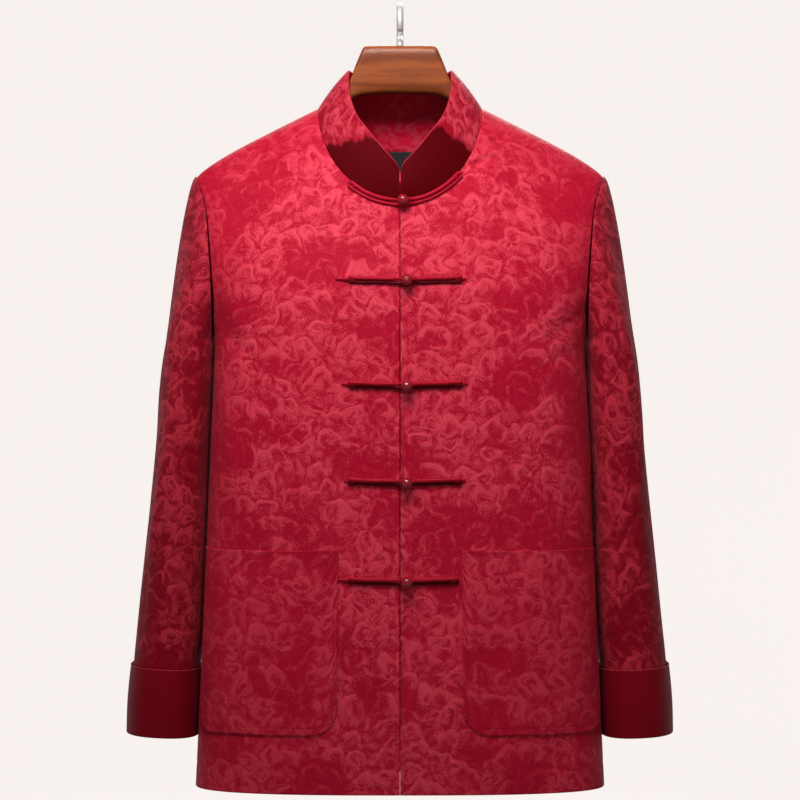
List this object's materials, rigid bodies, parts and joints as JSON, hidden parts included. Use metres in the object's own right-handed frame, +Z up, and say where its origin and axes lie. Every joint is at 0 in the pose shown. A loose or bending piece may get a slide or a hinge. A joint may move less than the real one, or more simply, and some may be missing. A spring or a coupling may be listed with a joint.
{
  "type": "tang jacket on a wooden hanger",
  "caption": "Open-bottomed damask jacket with a stand collar, frog fastenings, patch pockets and turned-up satin cuffs, hanging on a wooden hanger.",
  "frame": {"origin": "inside top of the hook, where a rail bears", "axes": "+Z up, the front faces -Y, +X to the wearer's left"},
  "size_m": [0.6014, 0.2155, 0.8579],
  "materials": {
    "damask": "red silk damask with a tone-on-tone pattern and a soft sheen",
    "satin": "plain deep red satin",
    "collar_cloth": "red damask and satin on a stiffened band",
    "cord": "doubled satin cord",
    "button": "polished dark red bead",
    "label": "bare dark woven tape",
    "wood": "clear-lacquered reddish brown wood",
    "steel": "bright steel wire"
  },
  "bodies": {
    "root": {"front_left": "damask", "front_right": "damask", "back": "damask", "sleeve_left": "damask", "sleeve_right": "damask", "cuff_left": "satin", "cuff_right": "satin", "collar": "collar_cloth", "pocket_left": "damask", "pocket_right": "damask", "pankou_loop_1": "cord", "pankou_knot_1": "cord", "pankou_bead_1": "button", "pankou_loop_2": "cord", "pankou_knot_2": "cord", "pankou_bead_2": "button", "pankou_loop_3": "cord", "pankou_knot_3": "cord", "pankou_bead_3": "button", "pankou_loop_4": "cord", "pankou_knot_4": "cord", "pankou_bead_4": "button", "pankou_loop_5": "cord", "pankou_knot_5": "cord", "pankou_bead_5": "button", "neck_label": "label", "hanger_wood": "wood", "hanger_hook": "steel"}
  },
  "joints": []
}
